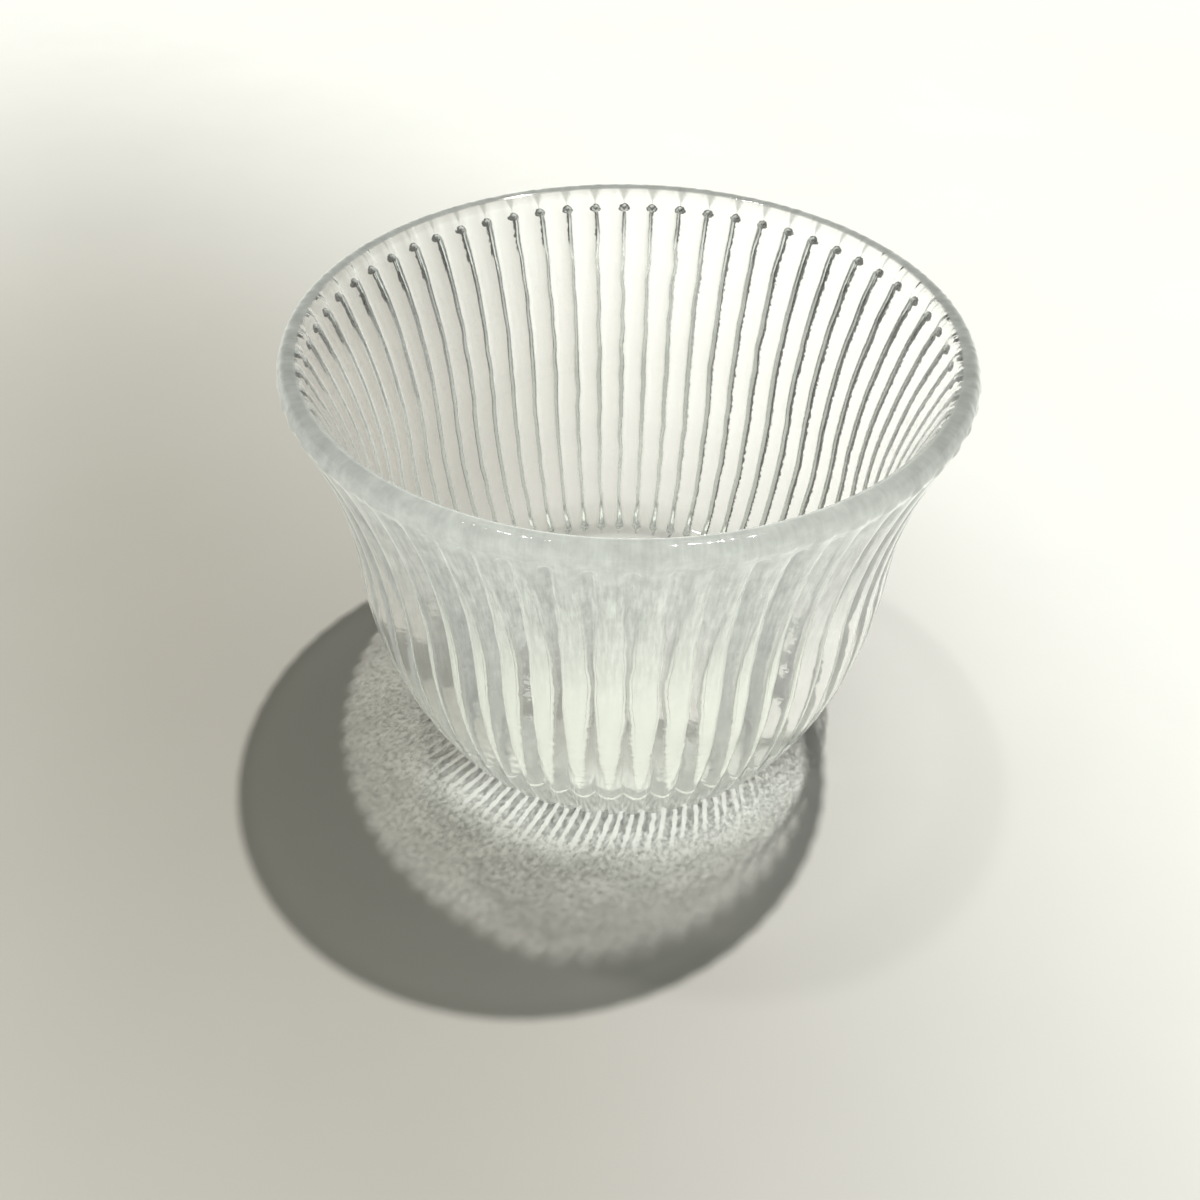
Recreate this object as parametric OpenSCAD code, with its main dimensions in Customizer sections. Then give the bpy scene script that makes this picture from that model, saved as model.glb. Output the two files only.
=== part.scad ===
// Fluted tea glass with a flared lip: one pressing of clear glass, divided at level
// planes into its lip, flared wall, belly wall, base and foot ring, which meet face
// to face. The axis is +Z, and the foot ring rests on Z = 0.

/* [Outline] */
// Outside diameter across the lip
rim_d = 84; // [80:1:90]
// Height from the resting face to the top of the lip
height = 59; // [54:1:64]
// How far the rim stands out past the waist, where the wall is upright
flare_out = 5.5; // [4.5:0.25:6.5]
// Height of the waist above the resting face
waist_z = 30; // [27:0.5:33]
// How far the belly draws in from the waist down to the level of the resting face
belly_in = 7.5; // [6:0.25:9]

/* [Glass] */
// Thickness of the wall
wall = 3.2; // [2.6:0.1:3.8]
// How far the rounded lip stands proud of each side of the wall
lip_swell = 0.05; // [0.03:0.01:0.2]
// Height of the lip piece above its joint with the flared wall
lip_h = 2.8; // [2.7:0.1:3]
// Height of the inside floor above the resting face
floor_z = 6.4; // [5:0.2:8]
// Radius of the curve from the floor into the wall
floor_round = 4; // [3:0.5:8]

/* [Reeds] */
// Number of reeds around the glass
reeds = 60; // [54:2:66]
// Slope in degrees at which two reeds meet at the bottom of the groove between them
groove_slope = 40; // [36:1:42]
// Slope in degrees at which a reed's round leaves its crest at the waist
crest_slope = 10; // [8:1:12]
// Width of the plain crest along the middle of a reed at the waist
crest_w = 0.6; // [0.55:0.05:0.8]
// Depth of the dimple that closes the upper end of a groove
dimple_d = 1; // [0.95:0.05:1.2]
// Slope in degrees of the dimple's sides
dimple_slope = 48; // [44:1:52]
// Plain height left between the dimples and the top of the lip
plain_h = 3.1; // [3:0.1:5]

/* [Foot] */
// Radius of the foot's outer edge
foot_round = 2; // [1.5:0.1:2.5]
// Radial width of the foot ring, from its outer edge to the recess
ring_w = 7; // [5:0.5:9]
// Slope in degrees of the recess wall from upright
recess_slope = 40; // [20:5:50]
// Rise of the dome in the middle of the recess
dome_h = 0.8; // [0.3:0.1:1.4]

/* [Hidden] */
// How far a cutting shape runs past what it cuts
over = 0.5;
// Colour of the clear glass, seen edge on
glass = [0.82, 0.88, 0.86];
$fn = 96;

// The belly arc is upright at the waist and ends at the foot.
waist_r = rim_d / 2 - flare_out;
belly_arc = upright_arc(belly_in, waist_z);
belly_x = waist_r - belly_arc;

// The lip is a round on the end of the wall, and rim_d and height reach to it.
lip_r = wall / 2 + lip_swell;
lip_x = rim_d / 2 - lip_r;
lip_z = height - lip_r;

// The flare arc is upright at the waist and carries the middle of the wall to the
// middle of the lip.
flare_run = lip_x - waist_r;
flare_rise = lip_z - waist_z;
flare_arc = (pow(flare_run, 2) + pow(flare_rise, 2) - pow(wall / 2, 2))
    / (2 * flare_run + wall);
flare_x = waist_r + flare_arc;
lip_lean = asin(flare_rise / (flare_arc + wall / 2));

// At the waist a reed's round spans from its crest to the bottom of the groove. It keeps
// that radius below, where the reeds draw together and the grooves between grow shallow.
reed_r = reed_half(waist_r) / (sin(groove_slope) - sin(crest_slope));
waist_groove = groove_depth(waist_r);
foot_groove = groove_depth(waist_r - belly_in);

// The bottom of a groove follows the flare arc, and below the waist an arc of its own.
groove_flare = flare_arc + waist_groove;
groove_belly = upright_arc(belly_in + foot_groove - waist_groove, waist_z);
groove_belly_x = waist_r - waist_groove - groove_belly;
dimple_r = dimple_d / tan(dimple_slope);

// The floor's round runs into the belly at the joint of the base with the wall above,
// and the foot's round at the joint of the foot ring with the base.
inner_belly = belly_arc - wall;
floor_r = round_x(inner_belly, floor_round, floor_z);
base_joint = round_end(inner_belly, floor_round, floor_z);
foot_r = round_x(belly_arc, foot_round, 0);
foot_joint = round_end(belly_arc, foot_round, 0);
lip_joint = height - lip_h;

// The recess under the base ends in a shallow dome.
recess_r = foot_r - ring_w + foot_round;
dome_r = recess_r - foot_joint * tan(recess_slope);
dome_arc = (pow(dome_r, 2) + pow(dome_h, 2)) / (2 * dome_h);

// Radius of an arc that starts upright and moves sideways by run over a height of rise.
function upright_arc(run, rise) = (pow(run, 2) + pow(rise, 2)) / (2 * run);

// Half the width of a reed's round where the crests are at radius r.
function reed_half(r) = PI * r / reeds - crest_w / 2;

// Depth of a groove, below crests at radius r, whose reeds' rounds are that wide.
function groove_depth(r) = reed_r
    * (cos(asin(sin(groove_slope) - reed_half(r) / reed_r)) - cos(groove_slope));

// Radius of the belly at level z.
function belly_r(z) = belly_x + sqrt(pow(belly_arc, 2) - pow(waist_z - z, 2));

// Half the width of a tool that reaches the crests at level high and keeps clear of the
// next tool at level low.
function tool_half(low, high) = (reed_half(belly_r(high)) + PI * belly_r(low) / reeds) / 2;

// Centre of a round of radius r, from the axis, between a belly arc and level z.
function round_x(arc, r, z) = belly_x + sqrt(pow(arc - r, 2) - pow(waist_z - z - r, 2));

// Level at which that round runs into the belly arc.
function round_end(arc, r, z) = waist_z - arc * (waist_z - z - r) / (arc - r);

// The angle at the centre of an arc that over takes up along it.
function over_angle(arc) = over / arc * 180 / PI;

// What lies inside the belly arc between two levels, depth below its surface.
module belly_outline(depth, low, high) {
    intersection() {
        translate([belly_x, waist_z])
            circle(r = belly_arc - depth);
        translate([0, low])
            square([rim_d / 2, high - low]);
    }
}

// What lies inside the flare arc from the waist up to a level, depth below its surface.
module flare_outline(depth, high) {
    difference() {
        translate([0, waist_z])
            square([rim_d / 2 + over, high - waist_z]);
        translate([flare_x, waist_z])
            circle(r = flare_arc + depth);
    }
}

// The flared wall's profile from the waist up to a level.
module flare_wall_outline(high) {
    difference() {
        flare_outline(0, high);
        flare_outline(wall, high + over);
    }
}

// A level face as wide as r, with a round at its edge, and all that stands on it.
module rounded_block(r, edge_round, z, top) {
    translate([0, z])
        square([r, top - z]);
    translate([r, z + edge_round])
        circle(r = edge_round);
}

// A groove's cross-section between the rounds of two reeds: x points out of the glass
// from the groove's bottom, and y runs along the rim as far as half to each side.
module groove_section(half) {
    difference() {
        translate([-over, -half])
            square([waist_groove + 2 * over, 2 * half]);
        for (side = [-1, 1])
            translate([-reed_r * cos(groove_slope), side * reed_r * sin(groove_slope)])
                circle(r = reed_r);
    }
}

// Repeats a shape once for each groove.
module around_glass() {
    for (i = [0 : reeds - 1])
        rotate(i * 360 / reeds)
            children();
}

// Grooves below the waist, between two levels.
module belly_grooves(low, high) {
    start = -asin((waist_z - low) / groove_belly) - over_angle(groove_belly);
    end = -asin((waist_z - high) / groove_belly) + over_angle(groove_belly);
    around_glass()
        translate([groove_belly_x, 0, waist_z])
            rotate([90, 0, 0])
                rotate(start)
                    rotate_extrude(angle = end - start)
                        translate([groove_belly, 0])
                            groove_section(tool_half(low, high));
}

// Grooves from the waist up to the dimples below the lip.
module flare_grooves() {
    turn = asin((height - plain_h - dimple_r - waist_z) / flare_arc);
    around_glass()
        translate([flare_x, 0, waist_z])
            rotate([90, 0, 0])
                rotate(180 - turn) {
                    rotate_extrude(angle = turn + over_angle(groove_flare))
                        translate([groove_flare, 0])
                            mirror([1, 0])
                                groove_section(tool_half(waist_z, waist_z));
                    translate([flare_arc + dimple_d, 0, 0])
                        rotate([0, -90, 0])
                            cylinder(
                                h = dimple_d + over,
                                r1 = 0,
                                r2 = dimple_r * (1 + over / dimple_d)
                            );
                }
}

// The plain lip, with a round on the end of the wall.
module lip() {
    color(glass)
        rotate_extrude()
            intersection() {
                union() {
                    intersection() {
                        flare_wall_outline(height);
                        translate([lip_x, lip_z])
                            rotate(-lip_lean)
                                translate([-wall, -2 * lip_h])
                                    square([2 * wall, 2 * lip_h]);
                    }
                    translate([lip_x, lip_z])
                        circle(r = lip_r);
                }
                translate([0, lip_joint])
                    square([rim_d / 2 + over, lip_h + over]);
            }
}

// The upper wall, where the reeds begin and the glass opens out.
module flared_wall() {
    color(glass)
        difference() {
            rotate_extrude()
                flare_wall_outline(lip_joint);
            flare_grooves();
        }
}

// The lower wall, which curves in towards the base.
module belly_wall() {
    color(glass)
        difference() {
            rotate_extrude()
                difference() {
                    belly_outline(0, base_joint, waist_z);
                    belly_outline(wall, base_joint - over, waist_z + over);
                }
            belly_grooves(base_joint, waist_z);
        }
}

// The thick bottom, with the inside floor on top and a shallow dome below.
module base() {
    color(glass)
        difference() {
            rotate_extrude()
                difference() {
                    belly_outline(0, foot_joint, base_joint);
                    rounded_block(floor_r, floor_round, floor_z, base_joint + over);
                    translate([0, foot_joint + dome_h - dome_arc])
                        circle(r = dome_arc);
                }
            belly_grooves(foot_joint, base_joint);
        }
}

// The ring that the glass stands on, round the recess.
module foot_ring() {
    color(glass)
        difference() {
            rotate_extrude()
                difference() {
                    intersection() {
                        rounded_block(foot_r, foot_round, 0, foot_joint);
                        square([rim_d / 2, foot_joint]);
                    }
                    polygon([
                        [0, 0],
                        [recess_r, 0],
                        [dome_r, foot_joint],
                        [0, foot_joint]
                    ]);
                }
            belly_grooves(0, foot_joint);
        }
}

lip();
flared_wall();
belly_wall();
base();
foot_ring();
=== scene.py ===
import math

import bpy
import numpy as np
from bpy.props import FloatProperty, FloatVectorProperty, IntProperty, PointerProperty
from mathutils import Matrix, Vector


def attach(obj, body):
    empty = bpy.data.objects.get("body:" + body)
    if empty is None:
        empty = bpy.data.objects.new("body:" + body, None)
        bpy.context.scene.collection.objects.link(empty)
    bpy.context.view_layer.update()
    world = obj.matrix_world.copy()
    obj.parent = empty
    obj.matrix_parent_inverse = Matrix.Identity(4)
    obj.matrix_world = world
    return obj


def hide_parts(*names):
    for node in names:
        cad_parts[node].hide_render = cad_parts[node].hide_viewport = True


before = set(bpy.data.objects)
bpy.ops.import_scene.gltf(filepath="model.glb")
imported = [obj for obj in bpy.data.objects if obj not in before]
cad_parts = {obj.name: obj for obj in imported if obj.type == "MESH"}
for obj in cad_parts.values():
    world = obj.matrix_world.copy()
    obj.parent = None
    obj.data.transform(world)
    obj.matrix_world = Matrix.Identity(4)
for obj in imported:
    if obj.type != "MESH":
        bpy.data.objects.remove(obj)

bl_info = {
    "name": "Fluted tea glass",
    "version": (1, 1, 0),
    "blender": (4, 5, 0),
    "location": "3D View > Sidebar > Tea Glass",
    "description": "Builds a fluted, flared tea glass and a pale table for it",
    "category": "Add Mesh",
}

MM = 0.001
WAVE_SEED = 7

# Light is followed for this many bounces, so that what stays in the grooves looks dark.
BOUNCES = 4
# How far apart counts of bounces have to be to differ
HALF_BOUNCE = 0.5


# Measures of the solid model

# Points nearer to a level than this lie on it
SAME_LEVEL = 0.01 * MM


def node_points(node):
    """A node's vertices as rows of distance from the axis and height, in metres."""
    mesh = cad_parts[node].data
    co = np.empty(len(mesh.vertices) * 3, np.float32)
    mesh.vertices.foreach_get("co", co)
    co = co.reshape(-1, 3).astype(float)
    return np.stack([np.hypot(co[:, 0], co[:, 1]), co[:, 2]], 1)


def measure_glass():
    """Reads the glass's outline from its nodes: radii from the axis and heights, in metres."""
    lip, belly, foot = node_points("lip"), node_points("belly_wall"), node_points("foot_ring")
    waist = belly[belly[:, 1] > belly[:, 1].max() - SAME_LEVEL]
    return {
        "lip_r": lip[:, 0].max(),
        "height": lip[:, 1].max(),
        "waist_r": waist[:, 0].max(),
        "waist_in_r": waist[:, 0].min(),
        "waist_z": belly[:, 1].max(),
        "foot_joint": foot[:, 1].max(),
        "foot_top_r": foot[:, 0].max(),
    }


SEEN = measure_glass()


# Settings that a user may change

class TeaGlassShape(bpy.types.PropertyGroup):
    """Sizes of the pressing that its outline doesn't already give"""

    wall: FloatProperty(
        name="Wall", description="Thickness of the wall at the crests of the reeds",
        default=SEEN["waist_r"] - SEEN["waist_in_r"], unit="LENGTH")
    lip_swell: FloatProperty(
        name="Lip swell",
        description="How far the lip's round stands proud of each side of the wall",
        default=0.05 * MM, unit="LENGTH")
    floor_z: FloatProperty(
        name="Floor height", description="Height of the inside floor above the table",
        default=6.4 * MM, unit="LENGTH")
    floor_round: FloatProperty(
        name="Floor round", description="Radius of the curve from the floor into the wall",
        default=4.0 * MM, unit="LENGTH")
    foot_round: FloatProperty(
        name="Foot round", description="Radius of the foot's outer edge",
        default=2.0 * MM, unit="LENGTH")
    ring_w: FloatProperty(
        name="Ring width", description="Width of the foot ring from its outer edge to the recess",
        default=7.0 * MM, unit="LENGTH")
    recess_slope: FloatProperty(
        name="Recess slope", description="Slope of the recess wall from upright",
        default=math.radians(40), subtype="ANGLE")
    dome_h: FloatProperty(
        name="Dome rise", description="Rise of the dome in the middle of the recess",
        default=0.8 * MM, unit="LENGTH")


class TeaGlassReeds(bpy.types.PropertyGroup):
    """Sizes of the reeds and of the grooves between them"""

    count: IntProperty(
        name="Reeds", description="Number of reeds around the glass", default=60, min=12)
    groove_slope: FloatProperty(
        name="Groove slope", description="Slope at which two reeds meet at the bottom of a groove",
        default=math.radians(46), subtype="ANGLE")
    crest_slope: FloatProperty(
        name="Crest slope",
        description="Slope at which a reed's round leaves its crest at the waist",
        default=math.radians(10), subtype="ANGLE")
    crest_w: FloatProperty(
        name="Crest width", description="Width of the plain crest of a reed at the waist",
        default=0.6 * MM, unit="LENGTH")
    dimple_d: FloatProperty(
        name="Dimple depth", description="Depth of the dimple that closes a groove's upper end",
        default=1.1 * MM, unit="LENGTH")
    dimple_slope: FloatProperty(
        name="Dimple slope", description="Slope of the dimple's sides",
        default=math.radians(50), subtype="ANGLE")
    plain_h: FloatProperty(
        name="Plain lip", description="Plain height between the dimples and the top of the lip",
        default=3.1 * MM, unit="LENGTH")
    band_d: FloatProperty(
        name="Band depth", description="How far the plain band lies below the reeds' round tops",
        default=0.16 * MM, unit="LENGTH")
    top_h: FloatProperty(
        name="Reed top", description="Height of the arch in which a reed ends on the lip",
        default=1.6 * MM, unit="LENGTH")
    wander: FloatProperty(
        name="Wander", description="How far a groove strays to either side of its line",
        default=0.05 * MM, unit="LENGTH")
    ripple: FloatProperty(
        name="Ripple", description="Height of the slight waves that the mould leaves",
        default=0.008 * MM, unit="LENGTH")
    lip_ripple: FloatProperty(
        name="Lip ripple", description="Height of the slight waves on the lip's round",
        default=0.05 * MM, unit="LENGTH")


class TeaGlassFinish(bpy.types.PropertyGroup):
    """Look of the glass"""

    tint: FloatVectorProperty(
        name="Tint", description="Colour of the light that the wall lets through",
        subtype="COLOR", size=3, min=0, max=1, default=(1.0, 1.0, 0.99))
    thick_tint: FloatVectorProperty(
        name="Thick tint", description="Colour of the light that the lip and the base let through",
        subtype="COLOR", size=3, min=0, max=1, default=(0.915, 0.93, 0.90))
    # The glow colours are painted light: emission that stands in for light caught in the glass,
    # and for a pale veil on its outside
    glow_front: FloatVectorProperty(
        name="Front glow", description="Colour of the light caught in the wall towards the front",
        subtype="COLOR", size=3, min=0, max=1, default=(0.25, 0.26, 0.235))
    glow_back: FloatVectorProperty(
        name="Back glow", description="Colour of the light caught in the wall towards the back",
        subtype="COLOR", size=3, min=0, max=1, default=(0.03, 0.031, 0.028))
    glow_lip: FloatVectorProperty(
        name="Lip glow", description="Colour of the light caught in the lip",
        subtype="COLOR", size=3, min=0, max=1, default=(0.42, 0.44, 0.40))
    glow_base: FloatVectorProperty(
        name="Base glow", description="Colour of the light caught in the base",
        subtype="COLOR", size=3, min=0, max=1, default=(0.29, 0.302, 0.265))
    roughness: FloatProperty(
        name="Roughness", description="Roughness of the pressed outside, seen from in front",
        default=0.10, min=0, max=1)


class TeaGlassStage(bpy.types.PropertyGroup):
    """Table, lamps and camera"""

    table: FloatVectorProperty(
        name="Table", description="Colour of the table", subtype="COLOR", size=3, min=0, max=1,
        default=(0.985, 0.98, 0.95))
    # Painted shade: the table's colour in the darkest part of the pool of shade painted on it
    table_shaded: FloatVectorProperty(
        name="Table, dark", description="Colour of the table where it is darkest",
        subtype="COLOR", size=3, min=0, max=1, default=(0.460, 0.437, 0.395))
    # Painted light: the table's colour where the light that the glass gathers is painted on it
    table_lit: FloatVectorProperty(
        name="Table, by the foot",
        description="Colour of the table in the light that the glass gathers",
        subtype="COLOR", size=3, min=0, max=1, default=(0.985, 0.985, 0.940))
    # Painted light: the table glows a little where it is seen through the glass
    lift: FloatProperty(
        name="Lift", description="Light that the table adds where it is seen through the glass",
        default=0.1, min=0, max=1)
    table_size: FloatProperty(
        name="Table size", description="Side of the square table", default=6.0, unit="LENGTH")


# The profile

# How much of the angle between the lip's round and the wall the rows leave free at their joint
LIP_SLACK = 0.7
# Angles on the lip's round: where its rows grow wider apart, and where the inside's rows begin
LIP_SPLIT = math.radians(42)
LIP_SEAM = 0.25
# Rows on the ring and the floor, as shares of their width, and the dome's last row
RING_ROWS = np.array([0.04, 0.5, 0.94])
FLOOR_ROWS = np.array([0.95, 0.66, 0.33, 0])
DOME_REACH = 0.98


def arc(centre, radius, start, end, count):
    """Points on a circle from one angle to another: centre plus radius times (cos a, sin a)."""
    a = np.linspace(start, end, count)
    return np.stack([centre[0] + radius * np.cos(a), centre[1] + radius * np.sin(a)], 1)


class Outline:
    """The arcs of the glass's profile, worked out from the outline's radii and heights."""

    def __init__(self, s):
        m = SEEN
        self.wall, self.height = s.wall, m["height"]
        self.waist_z, self.waist_r = m["waist_z"], m["waist_r"]
        drop, rise = self.waist_r - m["foot_top_r"], self.waist_z - m["foot_joint"]
        self.belly = (rise ** 2 + drop ** 2) / (2 * drop)
        self.belly_x = self.waist_r - self.belly
        self.lip_r = s.wall / 2 + s.lip_swell
        self.lip = np.array([m["lip_r"] - self.lip_r, self.height - self.lip_r])
        run, up = self.lip[0] - self.waist_r, self.lip[1] - self.waist_z
        self.flare = (run ** 2 + up ** 2 - (s.wall / 2) ** 2) / (2 * run + s.wall)
        self.flare_x = self.waist_r + self.flare
        self.lean = math.asin(up / (self.flare + s.wall / 2))
        self.meet = math.acos(s.wall / 2 / self.lip_r)
        self.foot = self.corner(self.belly, s.foot_round, 0)
        self.floor = self.corner(self.belly - s.wall, s.floor_round, s.floor_z)

    def corner(self, radius, r, z):
        """Centre of a round of radius r that touches a belly circle and the level z."""
        up = self.waist_z - z - r
        return np.array([self.belly_x + math.sqrt((radius - r) ** 2 - up ** 2), z + r])

    def from_belly(self, p):
        """The angle, seen from the belly arc's centre, of a point."""
        return math.atan2(p[1] - self.waist_z, p[0] - self.belly_x)

    def flare_angle(self, z):
        """The angle, seen from the flare arc's centre, of the outside at a height."""
        return math.pi - math.asin((z - self.waist_z) / self.flare)

    def under(self, s):
        """Rows from the middle of the underside out to the foot."""
        recess_r = self.foot[0] - s.ring_w + s.foot_round
        edge_z = SEEN["foot_joint"]
        dome_r = recess_r - edge_z * math.tan(s.recess_slope)
        dome = (dome_r ** 2 + s.dome_h ** 2) / (2 * s.dome_h)
        up, half = math.pi / 2, math.asin(dome_r / dome)
        ring = recess_r + (self.foot[0] - recess_r) * RING_ROWS
        return np.concatenate([
            arc((0, edge_z + s.dome_h - dome), dome, up, up - half * DOME_REACH, 5),
            [[dome_r, edge_z], [(dome_r + recess_r) / 2, edge_z / 2], [recess_r, 0]],
            np.stack([ring, ring * 0], 1)])

    def outside(self, s, reeds):
        """Rows from the foot's round up the outside to the top of the lip."""
        foot_a = self.from_belly(self.foot)
        belly_c, flare_c = (self.belly_x, self.waist_z), (self.flare_x, self.waist_z)
        dimple_r = reeds.dimple_d / math.tan(reeds.dimple_slope)
        low = self.flare_angle(self.height - reeds.plain_h - 2 * dimple_r)
        end = math.pi - self.lean
        slack = self.meet * LIP_SLACK
        past = 2 * slack * self.lip_r / self.flare
        return np.concatenate([
            arc(self.foot, s.foot_round, -math.pi / 2, foot_a, 7)[:-1],
            arc(belly_c, self.belly, foot_a, 0, 24)[:-1],
            arc(flare_c, self.flare, math.pi, low, 24)[:-1],
            arc(flare_c, self.flare, low, end + past, 17),
            arc(self.lip, self.lip_r, -self.lean - slack, LIP_SPLIT, 10)[:-1],
            arc(self.lip, self.lip_r, LIP_SPLIT, math.pi / 2, 5)])

    def inside(self, s):
        """Rows from the lip's inner round down to the middle of the floor."""
        floor_a, up = self.from_belly(self.floor), math.pi / 2
        belly_c, flare_c = (self.belly_x, self.waist_z), (self.flare_x, self.waist_z)
        lip_a, slack = math.pi - self.lean, self.meet * LIP_SLACK
        past = 2 * slack * self.lip_r / self.flare
        floor_r = self.floor[0] * FLOOR_ROWS
        return np.concatenate([
            arc(self.lip, self.lip_r, up + LIP_SEAM, lip_a + slack, 7),
            arc(flare_c, self.flare + self.wall, lip_a + past, math.pi, 12),
            arc(belly_c, self.belly - self.wall, 0, floor_a, 10)[1:],
            arc(self.floor, s.floor_round, floor_a, -up, 7)[1:],
            np.stack([floor_r, floor_r * 0 + s.floor_z], 1)])


def normals_of(points):
    """Unit normals that point out of the glass along a profile, from its neighbours' chord."""
    chord = np.gradient(points, axis=0)
    chord /= np.linalg.norm(chord, axis=1)[:, None]
    return np.stack([chord[:, 1], -chord[:, 0]], 1)


# The reeds

# How many times shorter than its upper half a dimple's lower half is
DIMPLE_SQUEEZE = 2.5
# Height of the arches' feet above a dimple's middle, in its radii, and half their edge's height
ARCH_FOOT = 0.9
ARCH_EDGE = 0.15 * MM
# Where the relief fades out on the lip's round, in its radii above its centre
RELIEF_FADE = (0.6, 0.92)
# Half the width of the painted shade along a groove's bottom, and how sharply a dimple's painted
# shade ends
PAINTED_SHADE_HALF = 0.45 * MM
PAINTED_SHADE_EDGE = 4
# Shortest and longest wave and their number: of the wall, of the lip and of a groove's line
WALL_WAVES = (1.8 * MM, 5 * MM, 40)
LIP_WAVES = (1.0 * MM, 3 * MM, 30)
LINE_WAVES = (4 * MM, 14 * MM, 30)
# Waves reach this many times their mean size inwards
WAVE_REACH = 3
# Columns of vertices from a groove's bottom to the middle of a reed, as shares of the pitch
COLUMNS = [0, 0.03, 0.07, 0.12, 0.175, 0.235, 0.30, 0.39]
# Columns of a plain surface per reed
COARSE = 4


def smooth_step(x, low, high):
    """Rises from 0 at low to 1 at high as 3t squared less 2t cubed."""
    t = np.clip((x - low) / (high - low), 0, 1)
    return t * t * (3 - 2 * t)


def reed_radius(reeds):
    """Radius of a reed's round, which spans from its crest to the groove at the waist."""
    half = math.pi * SEEN["waist_r"] / reeds.count - reeds.crest_w / 2
    return half / (math.sin(reeds.groove_slope) - math.sin(reeds.crest_slope))


def groove_bottom(reeds, r):
    """Depth of a groove's bottom where the crests are at radius r.

    It is R times (cos a less cos of the groove's slope), where sin a is the sine of the
    groove's slope less half the reed's width over R."""
    big = reed_radius(reeds)
    half = math.pi * np.minimum(r, SEEN["waist_r"]) / reeds.count - reeds.crest_w / 2
    crest = np.arcsin(math.sin(reeds.groove_slope) - half / big)
    return big * (np.cos(crest) - math.cos(reeds.groove_slope))


def groove_depth(reeds, across, bottom):
    """Depth at a distance from a groove's middle: its bottom less the height of the round."""
    big = reed_radius(reeds)
    mid = big * math.sin(reeds.groove_slope)
    level = np.sqrt(big ** 2 - np.maximum(mid - across, 0) ** 2)
    rise = level - big * math.cos(reeds.groove_slope)
    return np.maximum(bottom - rise, 0)


def outside_depth(o, reeds, r, z, across, half):
    """How far the outside lies below the crests' surface, at height z and off a groove's middle.

    Below the dimples it is the groove. At them it is a cone, and above them a shallow band that
    the arched tops of the reeds run out on. The band fades out on the lip's round.

    The other results are the band's share of each place, and the share of painted shade: dark
    lines painted along the bottoms of the grooves and in the dimples."""
    depth = groove_depth(reeds, across, groove_bottom(reeds, r))
    radius = reeds.dimple_d / math.tan(reeds.dimple_slope)
    upright = math.cos(o.lean)
    centre = o.height - reeds.plain_h - radius * upright
    rise = np.where(z > centre, 1, DIMPLE_SQUEEZE) * (z - centre) / upright
    cone = reeds.dimple_d - np.hypot(across, rise) * math.tan(reeds.dimple_slope)
    depth = np.where(z > centre, np.minimum(depth, reeds.band_d), depth)
    depth = np.maximum(depth, cone)
    shoulder = centre + radius * upright * ARCH_FOOT
    arch = shoulder + reeds.top_h * np.sqrt(np.maximum(1 - ((half - across) / half) ** 2, 0))
    past = smooth_step(z, arch - ARCH_EDGE, arch + ARCH_EDGE)
    depth = np.maximum(depth, reeds.band_d * past)
    fade = 1 - smooth_step((z - o.lip[1]) / o.lip_r, *RELIEF_FADE)
    # The share of painted shade: dark lines along the grooves' bottoms and in the dimples
    painted_shade = np.clip(1 - across / PAINTED_SHADE_HALF, 0, 1) * (z < centre)
    painted_shade = np.maximum(painted_shade, np.clip(cone / reeds.dimple_d * PAINTED_SHADE_EDGE, 0, 1))
    return depth * fade, past * fade, painted_shade


def waves(rng, angle, height, short, long, count):
    """Smooth random waves round the glass, with a mean square of 1.

    A sum of sines of (m times the angle plus w times the height plus a phase), with whole
    numbers m, whose lengths on the wall lie between short and long."""
    total = np.zeros(np.broadcast(angle, height).shape)
    for _ in range(count):
        length = short * (long / short) ** rng.random()
        turn = 2 * math.pi * rng.random()
        m = round(math.cos(turn) * 2 * math.pi * SEEN["waist_r"] / length)
        w = math.sin(turn) * 2 * math.pi / length
        total += np.sin(m * angle + w * height + 2 * math.pi * rng.random())
    return total * math.sqrt(2 / count)


def fine_angles(reeds):
    """Angles round the outside, crowded into each groove: shares of a pitch, repeated per reed."""
    shares = np.array(COLUMNS)
    shares = np.concatenate([shares, [0.5], 1 - shares[:0:-1]])
    return ((np.arange(reeds.count)[:, None] + shares) * 2 * math.pi / reeds.count).ravel()


def turned(r, z, angle):
    """Points of a surface turned about the axis, as rows of the profile by angles."""
    return np.stack(np.broadcast_arrays(r * np.cos(angle), r * np.sin(angle), z), 2)


def outside_surface(o, s, reeds):
    """The reeded outside: each profile point moved in along the profile's normal by its depth.

    Each groove also strays a little from its line, and low waves cover the whole. The other
    results are the shares that outside_depth gives."""
    rng = np.random.default_rng(WAVE_SEED)
    points = o.outside(s, reeds)
    normal = normals_of(points)
    angle = fine_angles(reeds)[None, :]
    pitch = 2 * math.pi / reeds.count
    nearest = np.round(angle / pitch)
    off = np.abs(angle - nearest * pitch)
    r, z = points[:, :1], points[:, 1:]
    depth, band, painted_shade = outside_depth(o, reeds, r, z, r * off, r * pitch / 2)
    inset = np.where(z < o.waist_z, o.belly - np.hypot(r - o.belly_x, z - o.waist_z), 0)
    depth = np.maximum(depth - np.maximum(inset, 0), 0)
    on_lip = smooth_step(z, o.height - reeds.plain_h, o.lip[1])
    wall_wave = np.maximum(1 + waves(rng, angle, z, *WALL_WAVES) / WAVE_REACH, 0)
    lip_wave = np.maximum(1 + waves(rng, angle, z, *LIP_WAVES) / WAVE_REACH, 0)
    depth = depth + wall_wave * reeds.ripple * (1 - on_lip) + lip_wave * reeds.lip_ripple * on_lip
    line = waves(rng, nearest * pitch, z, *LINE_WAVES) * (1 - 2 * off / pitch)
    angle = angle + line * reeds.wander / r
    return turned(r - depth * normal[:, :1], z - depth * normal[:, 1:], angle), band, painted_shade


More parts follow.
